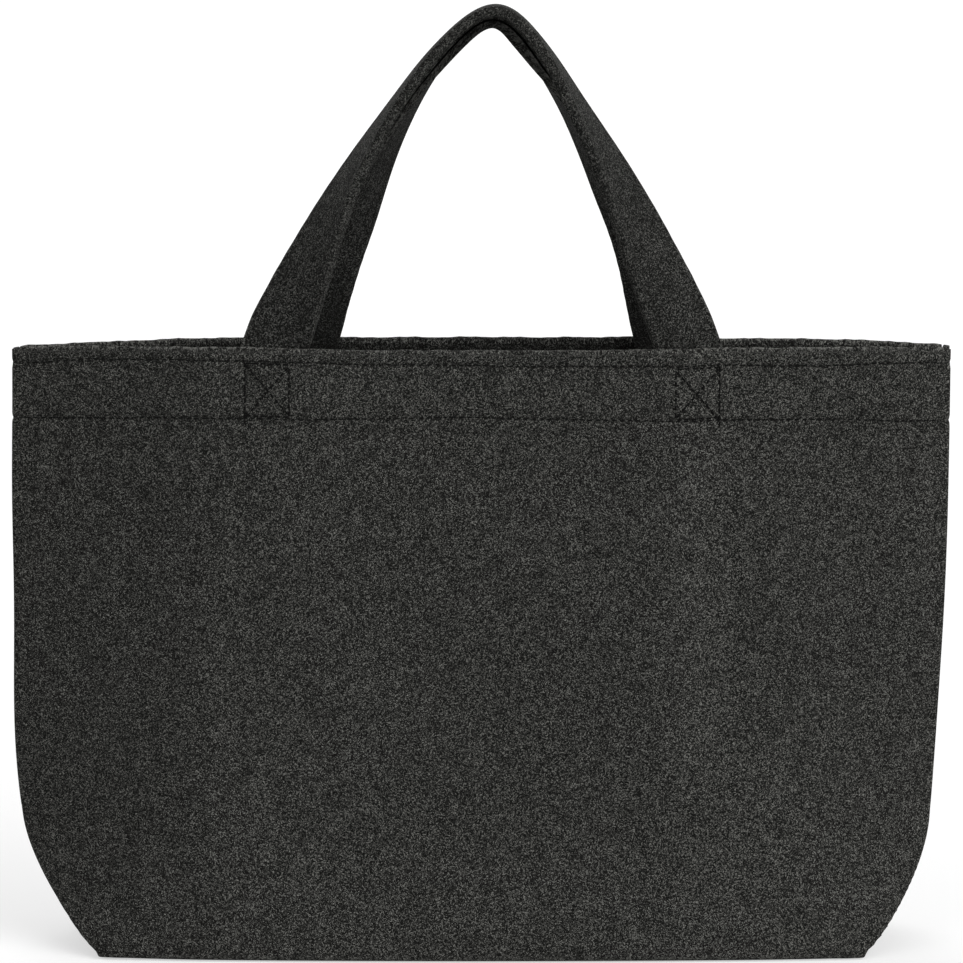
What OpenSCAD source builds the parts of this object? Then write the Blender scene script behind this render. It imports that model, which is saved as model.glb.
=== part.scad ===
// Felt tote bag: two felt panels sewn into a boxed bag, with two folded-strap handles.
// Millimetres, +Z up. The origin is on the floor under the middle of the base.
// The front faces -Y and the width lies along X.

/* [Base] */
// Length of the base, left to right
base_w = 366; // [340:2:400]
// Depth of the base, front to back
base_d = 102; // [90:2:114]
// Distance along the felt over which a lower corner turns, each side of the corner
corner_turn = 4; // [3:0.5:6]

/* [Walls] */
// Height of the rim above the floor
bag_h = 298; // [280:2:330]
// Half the straight stretch in the middle of the rim
rim_straight = 122; // [118:1:126]
// Distance along the felt over which the rim then bends back
rim_bend = 36; // [30:1:42]
// Angle to the width that the rim has bent to, on its way to the side seam
rim_angle = 15; // [13:0.1:16.5]
// Height over which the walls leave the upright of the base
start_h = 17; // [13:1:20]
// Further angle that the walls swing back through low down, beyond the rim's
swing_angle = 54; // [46:1:58]
// Height over which that further angle dies away
swing_h = 48; // [42:1:56]
// How far the corner's crease moves along the felt towards the side seam, for each unit of height
crease_ratio = 1.28; // [1.1:0.02:1.5]

/* [Felt] */
// Thickness of the felt
felt_t = 2.5; // [2:0.1:3]
// Width of a seam's turned-in allowance
seam_allow = 10; // [8:0.5:12]

/* [Hem] */
// Depth of the hem turned inside at the rim
hem_h = 38; // [34:1:44]
// Distance of the upper row of stitching below the rim
top_row_drop = 8; // [6:0.5:10]
// Distance of the lower row of stitching above the hem's edge
low_row_rise = 3; // [2:0.5:5]

/* [Handles] */
// Width of the folded strap
strap_w = 32; // [28:1:34]
// Distance of the front strap's middle from the bag's middle, at the rim
front_strap_x = 101.5; // [94:0.5:104]
// Distance of the back strap's middle from the bag's middle, at the rim
back_strap_x = 90; // [86:0.5:100]
// Angle of the front strap's lean towards the middle, where it leaves the rim
front_angle = 19; // [15:0.5:21]
// Angle of the back strap's lean towards the middle, where it leaves the rim
back_angle = 16.5; // [14:0.5:19]
// Further angle of lean gained evenly along the leg
draw_angle = 21; // [16:1:26]
// How tightly the strap bends at the top: higher is tighter
strap_bend = 20; // [12:1:26]
// How early the strap makes its quarter twist: higher is earlier
twist_rate = 1.7; // [1.2:0.1:2.2]
// Share of the leg, from the rim up, over which the twist eases in
twist_ease = 0.25; // [0.2:0.05:0.35]
// Distance of the edge stitching from the strap's edges
edge_inset = 5; // [3:0.5:7]

/* [Box stitching] */
// Width of the sewn box
box_w = 21.5; // [18:0.5:24]
// Distance of the box's middle outside the strap's middle at the rim
box_shift = 3.5; // [2:0.5:6]
// Distance kept between the box and the hem's two rows of stitching
box_clear = 1.2; // [1:0.1:3]

/* [Clearances] */
// Between the wall and the hem turned against it
ply_gap = 0.3; // [0.2:0.05:0.5]
// Between a seam's face and the middle plane
seam_gap = 0.1; // [0.05:0.05:0.3]
// Between the hem and the strap that lies on it
strap_gap = 0.3; // [0.2:0.05:0.6]
// Between a thread and the felt it lies on
thread_gap = 0.1; // [0.05:0.05:0.3]
// Half the space left between the two handles where they meet
meet_gap = 1.5; // [1:0.25:3]
// Thickness of the sewing thread
thread_d = 0.8; // [0.5:0.1:1.2]

/* [Hidden] */

felt_color = [0.20, 0.20, 0.19];
strap_color = [0.17, 0.17, 0.16];
thread_color = [0.08, 0.08, 0.08];

// Strap of two plies
strap_t = 2 * felt_t;
// Half a panel's flat width: the wall keeps this length at every height
half_w = (base_w + base_d) / 2;
corner_s = base_w / 2;
// Length of felt that turns the blunt end beside a side seam
blunt_len = 2 * felt_t;
// Radius of the rim's fold on the outside, and height of its centre, where the handles hinge
fold_r = felt_t + ply_gap / 2;
fold_z = bag_h - fold_r;
hem_low_z = bag_h - hem_h;
// Height of the sewn box, which fits between the hem's two rows
box_h = hem_h - low_row_rise - top_row_drop - 2 * box_clear;
// Side-seam allowances start above the base's own turned-up allowances
allow_low_z = 1.6 * seam_allow;

// Half the wall's section at one height, worked out by walking along the felt

// Value held between 0 and 1, and the same with an eased start and end
function unit(u) = max(0, min(1, u));
function eased(u) = unit(u) * unit(u) * (3 - 2 * unit(u));

// Height that shapes the section: the doubled hem stands straight above its lower edge
function shape_z(z) = min(z, hem_low_z);

// Share left at this height of what dies away over length h, none being left from the hem up
function left_at(z, h) = exp(-shape_z(z) / h) - exp(-hem_low_z / h);

// Angle that the front bends back to beside its straight stretch, and the further angle that it
// swings through by the corner's crease: neither is there at the floor
bend_h = 1.75 * start_h;
function bend(s, z) = rim_angle * eased((s - rim_straight) / rim_bend) * (1 - exp(-shape_z(z) / bend_h));
function swing(z) = swing_angle * left_at(z, swing_h) * (1 - exp(-shape_z(z) / start_h));

// Where along the felt the corner's crease lies: it starts at the base's corner and rises to the
// side seam, which it nears ever more slowly
crease_soft = half_w - corner_s - 8 * corner_turn;
function crease(z) =
    let (low = exp(-crease_ratio * shape_z(z) / crease_soft))
    -crease_soft * ln(low * exp(-corner_s / crease_soft) + (1 - low) * exp(-half_w / crease_soft));

// Where the swing starts and ends along the felt: the straight stretch narrows from the base's to
// the rim's over a height, and the swing is spread over a shortest stretch at least
narrow_h = 1.4 * swing_h;
swing_min = 5 * corner_turn;
function swing_from(z) =
    let (base_straight = corner_s - 2 * corner_turn)
    rim_straight + (base_straight - rim_straight) * left_at(z, narrow_h);
function swing_to(z) = min(max(crease(z), swing_from(z) + swing_min), half_w - blunt_len);

// Direction of the felt at distance s from the panel's middle line
function felt_turn(s, z) =
    let (swung = unit((s - swing_from(z)) / (swing_to(z) - swing_from(z))))
    let (slant = bend(s, z) + swing(z) * swung)
    let (folded = unit((s - crease(z) + corner_turn) / (2 * corner_turn)))
    let (blunt = unit((s - half_w + blunt_len) / blunt_len))
    slant + (90 - slant) * max(folded, blunt);

// The walk: [x, y] of the felt's middle layer, from the panel's middle line to the side seam
walk_n = 188;
walk_d = half_w / walk_n;
function walk(z) = [
    for (
        i = 0, x = 0, y = 0;
        i <= walk_n;
        x = x + walk_d * cos(felt_turn((i + 0.5) * walk_d, z)),
        y = y + walk_d * sin(felt_turn((i + 0.5) * walk_d, z)),
        i = i + 1
    ) [x, y]
];

// The same, moved so that its end lies against the side seam: [x, y, turn]
function section(z) =
    let (path = walk(z))
    let (shift = -felt_t / 2 - seam_gap - path[walk_n].y)
    [for (i = [0:walk_n]) [path[i].x, path[i].y + shift, felt_turn(i * walk_d, z)]];

// Columns: steps of the walk where the sheet has points, from its middle line outwards
function step_at(s) = round(s / walk_d);
corner_k = 8;
hem_k = 14;
half_steps = concat(
    [for (i = [0:3]) step_at(rim_straight * i / 3)],
    [for (i = [1:4]) step_at(rim_straight + (corner_s - corner_turn - rim_straight) * i / 4)],
    [step_at(corner_s)],
    [for (i = [1:8]) step_at(corner_s + (half_w - blunt_len - corner_s) * i / 8)],
    [step_at(half_w - blunt_len / 2), walk_n]
);
seam_k = len(half_steps) - 1;
allow_k = seam_k + 1;

// Rows: the hem's edge, over the fold, down the wall, then under the base to its seam
fold_angles = [180, 135, 90, 45];
wall_z = concat(
    [fold_z, hem_low_z],
    [for (f = [0.82, 0.65, 0.5, 0.38, 0.28]) hem_low_z * f],
    [for (f = [3.25, 2.6, 2, 1.5, 1, 0.6, 0.25, 0]) allow_low_z * f]
);
sections = [for (z = wall_z) section(z)];
hem_rows = 1 + len(fold_angles);
floor_row = hem_rows + len(wall_z) - 1;
base_rows = 4;
last_row = floor_row + base_rows + 1;

// Sizes read off the sections
rim_y = sections[0][0].y;
hinge_y = rim_y + (felt_t + ply_gap) / 2;
base_y = sections[len(wall_z) - 1][0].y;
base_end_x = sections[len(wall_z) - 1][walk_n].x - felt_t / 2 - ply_gap;
base_row_y = [
    base_y + felt_t / 2 + 1.5 * corner_turn,
    base_y / 2,
    -1.8 * felt_t - seam_gap,
    0
];

// Point of the wall's section at column k, moved off its middle layer by d
function wall_point(sec, k, d, z) =
    let (p = sec[half_steps[min(abs(k), seam_k)]])
    let (right = k < 0 ? -1 : 1)
    [right * (p.x + d * sin(p[2])), p.y - d * cos(p[2]), z];

// Side seam: the felt turns in along the middle plane for the seam's allowance
function seam_point(sec, k, side, z) =
    let (right = k < 0 ? -1 : 1)
    let (edge_x = sec[walk_n].x + felt_t / 2)
    let (root_x = side > 0 ? edge_x : edge_x - felt_t)
    [
        right * (abs(k) == seam_k ? root_x : edge_x - seam_allow),
        side > 0 ? -seam_gap : -seam_gap - felt_t,
        z
    ];

// Rim: row 0 is the hem's edge and the rest go over the fold
function hem_point(r, k, side) =
    let (a = r == 0 ? 180 : fold_angles[r - 1])
    let (radius = side > 0 ? fold_r : ply_gap / 2)
    let (d = -(felt_t + ply_gap) / 2 + radius * cos(a))
    wall_point(sections[0], k, d, r == 0 ? hem_low_z : fold_z + radius * sin(a));

// Base: flat on the floor, with its ends and its middle edge turned up for the seams
function base_point(b, k, side) =
    let (right = k < 0 ? -1 : 1)
    let (rim = abs(k) >= corner_k)
    let (x = rim ? base_end_x : base_end_x * half_steps[abs(k)] / half_steps[corner_k])
    let (y = b >= 3 ? (side > 0 ? -seam_gap : -seam_gap - felt_t) : base_row_y[b])
    let (z = side > 0 ? 0 : felt_t)
    let (up = b == base_rows || abs(k) > corner_k)
    [right * (rim && side < 0 ? x - felt_t : x), y, up ? seam_allow : z];

// Point of the whole panel: side 1 is the felt's outer face and -1 its inner face
function panel_point(r, k, side) =
    r < hem_rows ? hem_point(r, k, side) :
    r > floor_row ? base_point(r - floor_row - 1, k, side) :
    let (w = r - hem_rows)
    let (bare_rim = r == hem_rows && abs(k) > hem_k)
    let (lifted = r == floor_row && side < 0 && abs(k) <= corner_k)
    let (z = bare_rim ? bag_h : lifted ? felt_t : wall_z[w])
    abs(k) >= seam_k ? seam_point(sections[w], k, side, z) :
    wall_point(sections[w], k, side * felt_t / 2, z);

// Whether the panel has felt between row r and the next, and column k and the next
function panel_cell(r, k) =
    let (far = max(abs(k), abs(k + 1)))
    r < 0 || r >= last_row ? false :
    r < hem_rows ? far <= hem_k :
    r < floor_row ? far <= seam_k || (far == allow_k && wall_z[r - hem_rows + 1] >= allow_low_z) :
    far <= corner_k || (far == corner_k + 1 && r > floor_row && r < last_row - 2);

columns = 2 * allow_k + 1;
function vertex(r, k, side) = 2 * (r * columns + k + allow_k) + (side > 0 ? 0 : 1);

// The two triangles of a cell's face, and those that close the felt along a bare edge from p to q
function face_pair(a, b, c, d) = [[a, b, c], [a, c, d]];
function edge_pair(p, q) = face_pair(
    vertex(q[0], q[1], 1),
    vertex(p[0], p[1], 1),
    vertex(p[0], p[1], -1),
    vertex(q[0], q[1], -1)
);

// One panel: wall, hem, half the base and the seam allowances, in one piece of felt
module panel() {
    points = [
        for (r = [0:last_row])
            for (k = [-allow_k:allow_k])
                for (side = [1, -1])
                    panel_point(r, k, side)
    ];
    cells = [
        for (r = [0:last_row - 1])
            for (k = [-allow_k:allow_k - 1])
                if (panel_cell(r, k)) [r, k]
    ];
    outer = [
        for (c = cells)
            each face_pair(
                vertex(c[0], c[1], 1),
                vertex(c[0], c[1] + 1, 1),
                vertex(c[0] + 1, c[1] + 1, 1),
                vertex(c[0] + 1, c[1], 1)
            )
    ];
    inner = [
        for (c = cells)
            each face_pair(
                vertex(c[0], c[1], -1),
                vertex(c[0] + 1, c[1], -1),
                vertex(c[0] + 1, c[1] + 1, -1),
                vertex(c[0], c[1] + 1, -1)
            )
    ];
    edges = [
        for (c = cells)
            let (r = c[0])
            let (k = c[1])
            each concat(
                panel_cell(r - 1, k) ? [] : edge_pair([r, k], [r, k + 1]),
                panel_cell(r, k + 1) ? [] : edge_pair([r, k + 1], [r + 1, k + 1]),
                panel_cell(r + 1, k) ? [] : edge_pair([r + 1, k + 1], [r + 1, k]),
                panel_cell(r, k - 1) ? [] : edge_pair([r + 1, k], [r, k])
            )
    ];
    polyhedron(points, concat(outer, inner, edges));
}

// Solid drawn along rings of points that all have the same count.
// Each end is a fan from point hub, which must see the whole end.
module skin(rings, hub = 0) {
    m = len(rings[0]);
    last = len(rings) - 1;
    sides = [
        for (i = [0:last - 1])
            for (j = [0:m - 1])
                each face_pair(
                    i * m + j,
                    i * m + (j + 1) % m,
                    (i + 1) * m + (j + 1) % m,
                    (i + 1) * m + j
                )
    ];
    caps = [
        for (j = [1:m - 2])
            let (a = (hub + j) % m)
            let (b = (hub + j + 1) % m)
            each [[hub, b, a], [last * m + hub, last * m + a, last * m + b]]
    ];
    polyhedron([for (ring = rings) each ring], concat(sides, caps));
}

// A row of stitching along the hem's outer face at height z
module hem_row(z) {
    near = felt_t / 2 + thread_gap;
    skin([
        for (k = [-hem_k:hem_k])
            [
                for (c = [[0, -1], [1, -1], [1, 1], [0, 1]])
                    wall_point(sections[0], k, near + c[0] * thread_d, z + c[1] * thread_d / 2)
            ]
    ]);
}

// A row of stitching down the allowance of the right side seam, on the front panel's side
module side_row() {
    first = 1;
    last = len([for (z = wall_z) if (z >= allow_low_z) z]) - 1;
    y = -seam_gap - felt_t - thread_gap;
    skin([
        for (w = [last:-1:first])
            [
                for (c = [[0, -1], [1, -1], [1, 0], [0, 0]])
                    [
                        sections[w][walk_n].x - 0.5 * seam_allow + (c[0] - 0.5) * thread_d,
                        y + c[1] * thread_d,
                        wall_z[w] + (w == last ? 1 : w == first ? -1 : 0)
                    ]
            ]
    ]);
}

// Stitching on both faces of a side seam
module side_seam_row() {
    side_row();
    mirror([0, 1, 0]) side_row();
}

// Stitching on both faces of the base seam
module base_seam_row() {
    row_l = 2 * (base_end_x - 2 * seam_allow);
    for (side = [-1, 1])
        translate([0, side * (seam_gap + felt_t + thread_gap + thread_d / 2), 0.7 * seam_allow])
            cube([row_l, thread_d, thread_d], center = true);
}

// Stitching on the turned-up end of each base half, at the right
module corner_seam_row() {
    row_l = base_row_y[2] - base_row_y[0] - 0.8 * felt_t;
    mid_y = (base_row_y[2] + base_row_y[0]) / 2;
    x = base_end_x - felt_t - thread_gap - thread_d / 2;
    for (side = [-1, 1])
        translate([x, side * mid_y, 0.7 * seam_allow])
            cube([thread_d, row_l, thread_d], center = true);
}

// Handle: the strap's middle line rises from the rim and bends over at the top

// Lean from upright at fraction u of the way from the rim to the top
function leg_lean(lean, u) = lean + draw_angle * u + (90 - lean - draw_angle) * pow(u, strap_bend);

// Middle line of a leg, from the rim to the top: [x, z], for a leg of length 1
leg_n = 240;
function leg_walk(lean) = [
    for (
        i = 0, x = 0, z = 0;
        i <= leg_n;
        x = x + sin(leg_lean(lean, (i + 0.5) / leg_n)) / leg_n,
        z = z + cos(leg_lean(lean, (i + 0.5) / leg_n)) / leg_n,
        i = i + 1
    ) [x, z]
];

// A handle: [distance of the strap's middle from the bag's middle, lean, walk, length of a leg].
// The length is set so that both legs meet in the middle.
function make_handle(x, lean) =
    let (path = leg_walk(lean))
    [x, lean, path, x / path[leg_n].x];
front_handle = make_handle(front_strap_x, front_angle);
back_handle = make_handle(back_strap_x, back_angle);
strap_y = hinge_y + fold_r + strap_gap + strap_t / 2;
top_y = -strap_w / 2 - meet_gap;

// Steps along one leg, closer together towards the tight bend
leg_rings = 20;
function leg_step(v) = round(leg_n * (1 - pow(1 - v / leg_rings, 1.3)));

// Quarter twist of the strap at fraction u: none at the rim, then eased in
function leg_twist(u) = 90 * (1 - pow(1 - u, twist_rate)) * eased(u / twist_ease);

// Point of the right leg at ring v: w across the strap towards its outer edge, d off its front face
function leg_point(handle, v, w, d) =
    let (i = leg_step(v))
    let (u = i / leg_n)
    let (a = leg_lean(handle[1], u))
    let (t = leg_twist(u))
    let (mid = [
        handle[0] - handle[3] * handle[2][i].x,
        strap_y + (top_y - strap_y) * u,
        fold_z + handle[3] * handle[2][i].y
    ])
    let (across = [cos(a) * cos(t), sin(t), sin(a) * cos(t)])
    let (off = [cos(a) * sin(t), -cos(t), sin(a) * sin(t)])
    let (p = mid + w * across + d * off)
    v > 0 ? p : [p.x - (fold_z + strap_gap / 2 - p.z) * tan(a), p.y, fold_z + strap_gap / 2];

// Point of the whole loop: ring 0 is the right leg's foot and 2 * leg_rings the left one's
function loop_point(handle, v, w, d) =
    v <= leg_rings ? leg_point(handle, v, w, d) :
    let (p = leg_point(handle, 2 * leg_rings - v, w, d))
    [-p.x, p.y, p.z];

// The strip is folded lengthwise: round at the fold, two bare plies at the strap's outer edge
fold_chamfer = 0.35 * strap_t;
row_w = strap_w / 2 - edge_inset;
strap_outline = [
    [-strap_w / 2 + fold_chamfer, strap_t / 2],
    [-row_w, strap_t / 2],
    [row_w, strap_t / 2],
    [strap_w / 2, strap_t / 2],
    [strap_w / 2, ply_gap / 2],
    [strap_w / 2 - 1.2 * felt_t, 0],
    [strap_w / 2, -ply_gap / 2],
    [strap_w / 2, -strap_t / 2],
    [row_w, -strap_t / 2],
    [-row_w, -strap_t / 2],
    [-strap_w / 2 + fold_chamfer, -strap_t / 2],
    [-strap_w / 2, -strap_t / 2 + fold_chamfer],
    [-strap_w / 2, strap_t / 2 - fold_chamfer]
];

module handle_loop(handle) {
    skin([
        for (v = [0:2 * leg_rings])
            [for (p = strap_outline) loop_point(handle, v, p[0], p[1])]
    ], hub = 5);
}

// Rows of stitching along both edges of the strap, on both its faces
module handle_rows(handle) {
    near = strap_t / 2 + thread_gap;
    corners = [[-1, 1], [1, 1], [1, 0], [-1, 0]];
    for (w = [-row_w, row_w])
        for (face = [1, -1])
            skin([
                for (v = [1:2 * leg_rings - 1])
                    [
                        for (i = [0:3])
                            let (c = corners[face > 0 ? i : 3 - i])
                            loop_point(handle, v, w + c[0] * thread_d / 2, face * (near + c[1] * thread_d))
                    ]
            ]);
}

// Sewn end of the strap, flat on the inside of the hem, at the right of the front
module strap_end(handle) {
    high = fold_z - strap_gap / 2;
    low = hem_low_z + 1;
    half = strap_w / 2 / cos(handle[1]);
    mid_high = handle[0] + (fold_z - high) * tan(handle[1]);
    mid_low = handle[0] + (fold_z - low) * tan(handle[1]);
    translate([0, strap_y + strap_t / 2, 0])
        rotate([90, 0, 0])
            linear_extrude(height = strap_t)
                polygon([
                    [mid_low - half, low],
                    [mid_low + half, low],
                    [mid_high + half, high],
                    [mid_high - half, high]
                ]);
}

// Outline of the box stitching and its cross, drawn as one thread
module box_outline() {
    cross_l = norm([box_w, box_h]);
    for (side = [-1, 1]) {
        translate([side * box_w / 2, 0])
            square([thread_d, box_h + thread_d], center = true);
        translate([0, side * box_h / 2])
            square([box_w + thread_d, thread_d], center = true);
        rotate(side * atan2(box_h, box_w))
            square([cross_l, thread_d], center = true);
    }
}

// Box stitching at the right of the front: on the wall outside and on the strap's end inside
module box_row(handle) {
    mid_z = bag_h - (top_row_drop + hem_h - low_row_rise) / 2;
    outside = rim_y - felt_t / 2 - thread_gap;
    inside = strap_y + strap_t / 2 + thread_gap + thread_d;
    for (y = [outside, inside])
        translate([handle[0] + box_shift, y, mid_z])
            rotate([90, 0, 0])
                linear_extrude(height = thread_d)
                    box_outline();
}

// Turns a front piece into the matching back piece
module to_back() {
    rotate([0, 0, 180]) children();
}

module to_left() {
    mirror([1, 0, 0]) children();
}

module front_panel() {
    color(felt_color) panel();
}

module back_panel() {
    color(felt_color) to_back() panel();
}

module front_hem_top_stitching() {
    color(thread_color) hem_row(bag_h - top_row_drop);
}

module front_hem_low_stitching() {
    color(thread_color) hem_row(hem_low_z + low_row_rise);
}

module back_hem_top_stitching() {
    color(thread_color) to_back() hem_row(bag_h - top_row_drop);
}

module back_hem_low_stitching() {
    color(thread_color) to_back() hem_row(hem_low_z + low_row_rise);
}

module left_side_seam_stitching() {
    color(thread_color) to_left() side_seam_row();
}

module right_side_seam_stitching() {
    color(thread_color) side_seam_row();
}

module base_seam_stitching() {
    color(thread_color) base_seam_row();
}

module left_corner_seam_stitching() {
    color(thread_color) to_left() corner_seam_row();
}

module right_corner_seam_stitching() {
    color(thread_color) corner_seam_row();
}

module front_left_strap_end() {
    color(strap_color) to_left() strap_end(front_handle);
}

module front_right_strap_end() {
    color(strap_color) strap_end(front_handle);
}

module back_left_strap_end() {
    color(strap_color) to_back() strap_end(back_handle);
}

module back_right_strap_end() {
    color(strap_color) to_back() to_left() strap_end(back_handle);
}

module front_left_box_stitching() {
    color(thread_color) to_left() box_row(front_handle);
}

module front_right_box_stitching() {
    color(thread_color) box_row(front_handle);
}

module back_left_box_stitching() {
    color(thread_color) to_back() box_row(back_handle);
}

module back_right_box_stitching() {
    color(thread_color) to_back() to_left() box_row(back_handle);
}

module front_handle_strap() {
    color(strap_color) handle_loop(front_handle);
}

module front_handle_stitching() {
    color(thread_color) handle_rows(front_handle);
}

module back_handle_strap() {
    color(strap_color) to_back() handle_loop(back_handle);
}

module back_handle_stitching() {
    color(thread_color) to_back() handle_rows(back_handle);
}

front_panel();
back_panel();
front_hem_top_stitching();
front_hem_low_stitching();
back_hem_top_stitching();
back_hem_low_stitching();
left_side_seam_stitching();
right_side_seam_stitching();
base_seam_stitching();
left_corner_seam_stitching();
right_corner_seam_stitching();
front_left_strap_end();
front_right_strap_end();
back_left_strap_end();
back_right_strap_end();
front_left_box_stitching();
front_right_box_stitching();
back_left_box_stitching();
back_right_box_stitching();
front_handle_strap();
front_handle_stitching();
back_handle_strap();
back_handle_stitching();
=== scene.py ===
import math

import bpy
import numpy as np
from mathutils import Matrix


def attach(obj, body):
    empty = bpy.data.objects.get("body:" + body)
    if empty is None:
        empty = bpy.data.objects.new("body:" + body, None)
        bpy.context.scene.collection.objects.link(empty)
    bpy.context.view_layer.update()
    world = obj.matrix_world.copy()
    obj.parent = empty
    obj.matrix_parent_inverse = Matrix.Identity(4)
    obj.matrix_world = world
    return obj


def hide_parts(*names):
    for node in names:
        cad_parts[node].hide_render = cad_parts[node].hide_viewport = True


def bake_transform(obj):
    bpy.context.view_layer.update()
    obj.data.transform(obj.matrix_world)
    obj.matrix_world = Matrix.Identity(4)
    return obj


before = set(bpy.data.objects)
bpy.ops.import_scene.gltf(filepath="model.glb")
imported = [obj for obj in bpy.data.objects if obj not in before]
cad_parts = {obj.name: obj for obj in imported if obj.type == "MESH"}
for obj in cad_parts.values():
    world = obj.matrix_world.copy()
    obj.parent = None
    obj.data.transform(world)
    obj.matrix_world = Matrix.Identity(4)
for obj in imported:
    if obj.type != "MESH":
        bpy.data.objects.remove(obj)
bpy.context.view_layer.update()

# Sizes of the bag in millimetres. The part's source has the same, but for a rim angle of 15
MM = 0.001
BASE_W, BASE_D = 366.0, 102.0
BAG_H, RIM_STRAIGHT, RIM_BEND, RIM_ANGLE = 298.0, 122.0, 36.0, 14.8
FELT_T, SEAM_ALLOW = 2.5, 10.0
HEM_H, TOP_ROW_DROP, LOW_ROW_RISE = 38.0, 8.0, 3.0
PLY_GAP, STRAP_GAP, MEET_GAP = 0.3, 0.3, 1.5
STRAP_W, STRAP_T = 32.0, 5.0
BOX_W, BOX_SHIFT, BOX_CLEAR = 21.5, 3.5, 1.2
FRONT_X, BACK_X = 101.5, 90.0

HALF_W = (BASE_W + BASE_D) / 2
CORNER_S = BASE_W / 2
BLUNT = 2 * FELT_T                  # how far short of a side seam the wall's swing ends
FOLD_R = FELT_T + PLY_GAP / 2       # outer radius of the rim's fold
FOLD_MID = (FELT_T + PLY_GAP) / 2   # its radius at the felt's middle
FOLD_Z = BAG_H - FOLD_R
HEM_LOW = BAG_H - HEM_H
TOP_ROW_Z = BAG_H - TOP_ROW_DROP
LOW_ROW_Z = HEM_LOW + LOW_ROW_RISE
ALLOW_LOW = 1.6 * SEAM_ALLOW        # where a side seam's allowance starts
S_END = HALF_W + SEAM_ALLOW

# Small forms that only the cloth itself has
ROLL_FROM = HALF_W - 3.7  # where the felt rolls inwards beside a side seam
ROLL = 5.5                # how much felt the roll takes
SEAM_BITE = 0.05          # how far each felt of a seam is pressed past the seam's plane
HEM_END = HALF_W - 5      # where the hem stops along the felt, at the side seam's roll
EDGE_R = 3.2              # outer radius of the fold between wall and base
CORNER_EDGE_R = 2.6       # the same past the base's corners
UP_R = 1.7                # radius of the turn-up at the base seams, at the felt's middle
BASE_END = 180.2          # half length of the base's flat part
LEAST_Z = 0.02            # no felt lies lower than this
STITCH = 3.9              # pitch of the hem stitching
BOX_TAIL = 5.0            # how far a sewn box's outer upright runs on below it
CUT_EDGE = 3.0            # how far the pattern runs on across a cut edge, from face to face

SHARP = 50    # faces that meet at more degrees than this keep an edge
TINY = 1e-6   # slack for comparing lengths


def ease(u):
    """Rises from 0 to 1 as u does, level at both ends."""
    u = np.clip(u, 0, 1)
    return u * u * (3 - 2 * u)


def hump(value, middle, wide):
    """1 at the middle, about a third at the distance wide on either side, and 0 far off."""
    return np.exp(-(((value - middle) / wide) ** 2))


def waves(a, b, seed, lengths):
    """Sum of sine waves over the plane (a, b), one for each length, each with a
    drawn direction and phase; the sum stays within about 1."""
    draw = np.random.default_rng(seed)
    total = 0.0
    for length in lengths:
        way, phase = draw.uniform(0, 2 * np.pi, 2)
        total = total + np.sin(2 * np.pi * (a * np.cos(way) + b * np.sin(way)) / length + phase)
    return total / max(1.0, 0.7 * len(lengths))


def line_waves(a, seed, lengths):
    """The same along one line."""
    return waves(a, 0 * a, seed, lengths)


# The wall's section

S_STEP = 0.25                                    # step along the felt in the tables
RIM_RISE = 30                                    # height over which the rim's bend comes in
SWING, SWING_IN, SWING_OUT = 54.2, 17, 48.4      # most swing, and the heights it comes and goes over
SWING_HIGH, SWING_LOW, SWING_FALL = 125, 50, 69  # where along the felt it starts, and how that falls
SWING_RUN = 20                                   # the least felt that it takes
CREASE_OUT, CREASE_SLOPE = 4.1, 1.28             # how far past the corner the crease starts, and its run
CREASE_SOFT, CREASE_W = 18, 6                    # how softly it meets the seam, and its width
SWAY = 3.1                                       # how far the body leans to the left
BELLY, BELLY_FALL = 5.0, 45                      # how far the lower front stands out, and how that falls
STEP_LEFT, STEP_RIGHT = 1.5, 8.0                 # how far the wall steps back past each handle


def felt_turn(s, z):
    """Direction of the felt, in degrees, at distance s from the panel's middle and height z.
    It is 0 along the front's middle and bends back beside it by the rim's angle; low down it
    swings on towards the side, and past the corner's crease it turns to 90. The crease starts
    at the base's corner and rises along the side until it meets the side seam, where the felt
    rolls to 180."""
    slant = RIM_ANGLE * ease((s - RIM_STRAIGHT) / RIM_BEND) * (1 - np.exp(-z / RIM_RISE))
    swing = SWING * np.exp(-z / SWING_OUT) * (1 - np.exp(-z / SWING_IN))
    crease = CORNER_S + CREASE_OUT + CREASE_SLOPE * z
    crease = -CREASE_SOFT * np.logaddexp(-crease / CREASE_SOFT, -(HALF_W - 0.5) / CREASE_SOFT)
    start = SWING_HIGH + SWING_LOW * np.exp(-z / SWING_FALL)
    stop = np.minimum(np.maximum(crease, start + SWING_RUN), HALF_W - BLUNT)
    slant = slant + swing * np.clip((s - start) / (stop - start), 0, 1)
    turn = slant + (90 - slant) * ease((s - crease + CREASE_W / 2) / CREASE_W)
    return turn + (180 - turn) * np.clip((s - ROLL_FROM) / ROLL, 0, 1)


def walk_sections():
    """Tables of x, y and turn over height, each millimetre, and distance along the felt.
    Steps along the felt's direction add up to x and y, and y is moved so that the
    allowance lies against the seam's plane."""
    z = np.arange(0, HEM_LOW + 1)[:, None]
    nodes = np.arange(0, S_END + S_STEP, S_STEP)[None, :]
    mid = np.radians(felt_turn(nodes[:, :-1] + S_STEP / 2, z))
    start = np.zeros_like(z)
    x = np.hstack([start, np.cumsum(np.cos(mid), axis=1) * S_STEP])
    y = np.hstack([start, np.cumsum(np.sin(mid), axis=1) * S_STEP])
    y += SEAM_BITE - FELT_T / 2 - y[:, -1:]
    return x, y, np.radians(felt_turn(nodes, z))


TABLES = walk_sections()
LAST_COLUMN = TABLES[0].shape[1] - 1.001   # leaves a column of the tables past every point


def sway(z):
    """The body leans a little to the left, most at about a third of its height."""
    return -SWAY * hump(z, 92, 74) * (1 - hump(z, 0, 34))


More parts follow.
